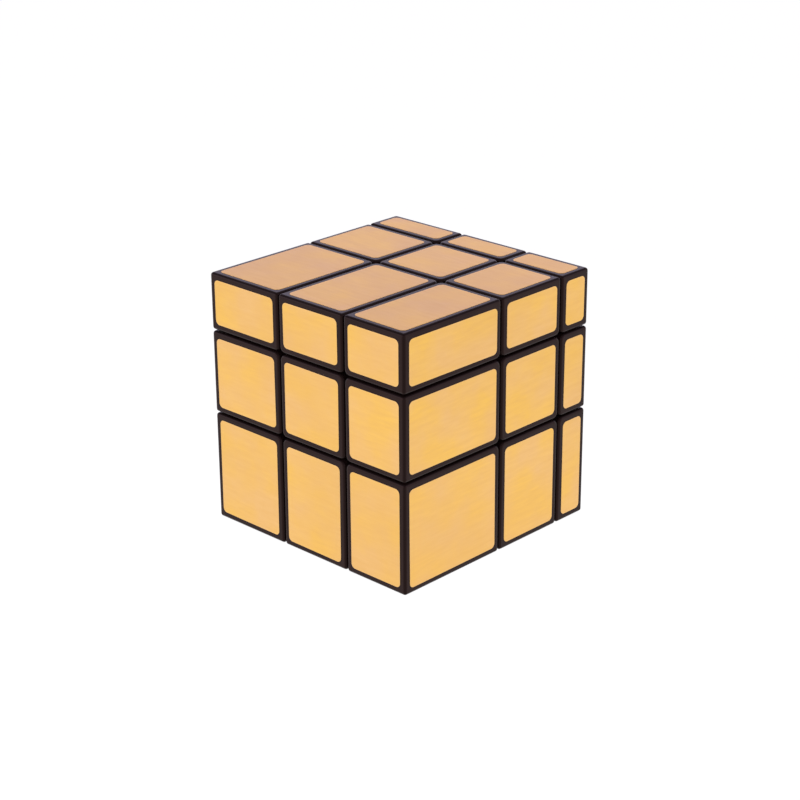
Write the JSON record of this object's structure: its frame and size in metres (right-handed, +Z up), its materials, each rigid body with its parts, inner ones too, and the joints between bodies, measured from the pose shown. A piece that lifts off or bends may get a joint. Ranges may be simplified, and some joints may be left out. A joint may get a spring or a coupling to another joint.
{
  "type": "mirror block puzzle cube",
  "caption": "Twisty puzzle cube of black blocks with gold faces, whose layers differ in thickness, turning on a sprung six-armed core.",
  "frame": {"origin": "middle of the solved cube's underside", "axes": "+Z up; -Y is the front, the side with the 29 mm layer behind it; +X is the right, the side with the 17 mm layer behind it"},
  "size_m": [0.057, 0.057, 0.057],
  "materials": {
    "black_plastic": "black moulded ABS, satin, edges rounded",
    "gold_foil": "thin gold foil stickers with fine brushed lines",
    "hub_plastic": "black moulded plastic",
    "core_plastic": "off-white moulded plastic",
    "zinc_steel": "zinc-plated",
    "spring_steel": "bright drawn wire"
  },
  "bodies": {
    "core": {"core": "core_plastic", "screw_up": "zinc_steel", "washer_up": "zinc_steel", "spring_up": "spring_steel", "screw_down": "zinc_steel", "washer_down": "zinc_steel", "spring_down": "spring_steel", "screw_front": "zinc_steel", "washer_front": "zinc_steel", "spring_front": "spring_steel", "screw_back": "zinc_steel", "washer_back": "zinc_steel", "spring_back": "spring_steel", "screw_left": "zinc_steel", "washer_left": "zinc_steel", "spring_left": "spring_steel", "screw_right": "zinc_steel", "washer_right": "zinc_steel", "spring_right": "spring_steel"},
    "centre_up": {"hub_up": "hub_plastic", "cap_up": "black_plastic"},
    "centre_down": {"hub_down": "hub_plastic", "cap_down": "black_plastic"},
    "centre_front": {"hub_front": "hub_plastic", "cap_front": "black_plastic"},
    "centre_back": {"hub_back": "hub_plastic", "cap_back": "black_plastic"},
    "centre_left": {"hub_left": "hub_plastic", "cap_left": "black_plastic"},
    "centre_right": {"hub_right": "hub_plastic", "cap_right": "black_plastic"},
    "edge_up_front": {"edge_up_front": "black_plastic"},
    "edge_up_back": {"edge_up_back": "black_plastic"},
    "edge_up_left": {"edge_up_left": "black_plastic"},
    "edge_up_right": {"edge_up_right": "black_plastic"},
    "edge_down_front": {"edge_down_front": "black_plastic"},
    "edge_down_back": {"edge_down_back": "black_plastic"},
    "edge_down_left": {"edge_down_left": "black_plastic"},
    "edge_down_right": {"edge_down_right": "black_plastic"},
    "edge_front_left": {"edge_front_left": "black_plastic"},
    "edge_front_right": {"edge_front_right": "black_plastic"},
    "edge_back_left": {"edge_back_left": "black_plastic"},
    "edge_back_right": {"edge_back_right": "black_plastic"},
    "corner_up_front_left": {"corner_up_front_left": "black_plastic"},
    "corner_up_front_right": {"corner_up_front_right": "black_plastic"},
    "corner_up_back_left": {"corner_up_back_left": "black_plastic"},
    "corner_up_back_right": {"corner_up_back_right": "black_plastic"},
    "corner_down_front_left": {"corner_down_front_left": "black_plastic"},
    "corner_down_front_right": {"corner_down_front_right": "black_plastic"},
    "corner_down_back_left": {"corner_down_back_left": "black_plastic"},
    "corner_down_back_right": {"corner_down_back_right": "black_plastic"}
  },
  "joints": [
    {"name": "up_turn", "type": "hinge", "parent": "core", "child": "centre_up", "pos_m": [0.002, 0.01, 0.0345], "axis": [0, 0, 1], "continuous": true},
    {"name": "down_turn", "type": "hinge", "parent": "core", "child": "centre_down", "pos_m": [0.002, 0.01, 0.0345], "axis": [0, 0, -1], "continuous": true},
    {"name": "front_turn", "type": "hinge", "parent": "core", "child": "centre_front", "pos_m": [0.002, 0.01, 0.0345], "axis": [0, -1, 0], "continuous": true},
    {"name": "back_turn", "type": "hinge", "parent": "core", "child": "centre_back", "pos_m": [0.002, 0.01, 0.0345], "axis": [0, 1, 0], "continuous": true},
    {"name": "left_turn", "type": "hinge", "parent": "core", "child": "centre_left", "pos_m": [0.002, 0.01, 0.0345], "axis": [-1, 0, 0], "continuous": true},
    {"name": "right_turn", "type": "hinge", "parent": "core", "child": "centre_right", "pos_m": [0.002, 0.01, 0.0345], "axis": [1, 0, 0], "continuous": true},
    {"name": "edge_up_front_turn", "type": "hinge", "parent": "centre_up", "child": "edge_up_front", "pos_m": [0.002, 0.01, 0.0345], "axis": [0, -1, 0], "continuous": true},
    {"name": "edge_up_back_turn", "type": "hinge", "parent": "centre_up", "child": "edge_up_back", "pos_m": [0.002, 0.01, 0.0345], "axis": [0, 1, 0], "continuous": true},
    {"name": "edge_up_left_turn", "type": "hinge", "parent": "centre_left", "child": "edge_up_left", "pos_m": [0.002, 0.01, 0.0345], "axis": [0, 0, 1], "continuous": true},
    {"name": "edge_up_right_turn", "type": "hinge", "parent": "centre_right", "child": "edge_up_right", "pos_m": [0.002, 0.01, 0.0345], "axis": [0, 0, 1], "continuous": true},
    {"name": "edge_down_front_turn", "type": "hinge", "parent": "centre_down", "child": "edge_down_front", "pos_m": [0.002, 0.01, 0.0345], "axis": [0, -1, 0], "continuous": true},
    {"name": "edge_down_back_turn", "type": "hinge", "parent": "centre_down", "child": "edge_down_back", "pos_m": [0.002, 0.01, 0.0345], "axis": [0, 1, 0], "continuous": true},
    {"name": "edge_down_left_turn", "type": "hinge", "parent": "centre_left", "child": "edge_down_left", "pos_m": [0.002, 0.01, 0.0345], "axis": [0, 0, -1], "continuous": true},
    {"name": "edge_down_right_turn", "type": "hinge", "parent": "centre_right", "child": "edge_down_right", "pos_m": [0.002, 0.01, 0.0345], "axis": [0, 0, -1], "continuous": true},
    {"name": "edge_front_left_turn", "type": "hinge", "parent": "centre_front", "child": "edge_front_left", "pos_m": [0.002, 0.01, 0.0345], "axis": [-1, 0, 0], "continuous": true},
    {"name": "edge_front_right_turn", "type": "hinge", "parent": "centre_front", "child": "edge_front_right", "pos_m": [0.002, 0.01, 0.0345], "axis": [1, 0, 0], "continuous": true},
    {"name": "edge_back_left_turn", "type": "hinge", "parent": "centre_back", "child": "edge_back_left", "pos_m": [0.002, 0.01, 0.0345], "axis": [-1, 0, 0], "continuous": true},
    {"name": "edge_back_right_turn", "type": "hinge", "parent": "centre_back", "child": "edge_back_right", "pos_m": [0.002, 0.01, 0.0345], "axis": [1, 0, 0], "continuous": true},
    {"name": "corner_up_front_left_turn", "type": "hinge", "parent": "edge_front_left", "child": "corner_up_front_left", "pos_m": [0.002, 0.01, 0.0345], "axis": [0, 0, 1], "continuous": true},
    {"name": "corner_up_front_right_turn", "type": "hinge", "parent": "edge_front_right", "child": "corner_up_front_right", "pos_m": [0.002, 0.01, 0.0345], "axis": [0, 0, 1], "continuous": true},
    {"name": "corner_up_back_left_turn", "type": "hinge", "parent": "edge_back_left", "child": "corner_up_back_left", "pos_m": [0.002, 0.01, 0.0345], "axis": [0, 0, 1], "continuous": true},
    {"name": "corner_up_back_right_turn", "type": "hinge", "parent": "edge_back_right", "child": "corner_up_back_right", "pos_m": [0.002, 0.01, 0.0345], "axis": [0, 0, 1], "continuous": true},
    {"name": "corner_down_front_left_turn", "type": "hinge", "parent": "edge_front_left", "child": "corner_down_front_left", "pos_m": [0.002, 0.01, 0.0345], "axis": [0, 0, -1], "continuous": true},
    {"name": "corner_down_front_right_turn", "type": "hinge", "parent": "edge_front_right", "child": "corner_down_front_right", "pos_m": [0.002, 0.01, 0.0345], "axis": [0, 0, -1], "continuous": true},
    {"name": "corner_down_back_left_turn", "type": "hinge", "parent": "edge_back_left", "child": "corner_down_back_left", "pos_m": [0.002, 0.01, 0.0345], "axis": [0, 0, -1], "continuous": true},
    {"name": "corner_down_back_right_turn", "type": "hinge", "parent": "edge_back_right", "child": "corner_down_back_right", "pos_m": [0.002, 0.01, 0.0345], "axis": [0, 0, -1], "continuous": true}
  ],
  "couplings": [
    {"joint": "edge_up_front_turn", "follows": "front_turn", "ratio": 1},
    {"joint": "edge_up_back_turn", "follows": "back_turn", "ratio": 1},
    {"joint": "edge_up_left_turn", "follows": "up_turn", "ratio": 1},
    {"joint": "edge_up_right_turn", "follows": "up_turn", "ratio": 1},
    {"joint": "edge_down_front_turn", "follows": "front_turn", "ratio": 1},
    {"joint": "edge_down_back_turn", "follows": "back_turn", "ratio": 1},
    {"joint": "edge_down_left_turn", "follows": "down_turn", "ratio": 1},
    {"joint": "edge_down_right_turn", "follows": "down_turn", "ratio": 1},
    {"joint": "edge_front_left_turn", "follows": "left_turn", "ratio": 1},
    {"joint": "edge_front_right_turn", "follows": "right_turn", "ratio": 1},
    {"joint": "edge_back_left_turn", "follows": "left_turn", "ratio": 1},
    {"joint": "edge_back_right_turn", "follows": "right_turn", "ratio": 1},
    {"joint": "corner_up_front_left_turn", "follows": "up_turn", "ratio": 1},
    {"joint": "corner_up_front_right_turn", "follows": "up_turn", "ratio": 1},
    {"joint": "corner_up_back_left_turn", "follows": "up_turn", "ratio": 1},
    {"joint": "corner_up_back_right_turn", "follows": "up_turn", "ratio": 1},
    {"joint": "corner_down_front_left_turn", "follows": "down_turn", "ratio": 1},
    {"joint": "corner_down_front_right_turn", "follows": "down_turn", "ratio": 1},
    {"joint": "corner_down_back_left_turn", "follows": "down_turn", "ratio": 1},
    {"joint": "corner_down_back_right_turn", "follows": "down_turn", "ratio": 1}
  ]
}
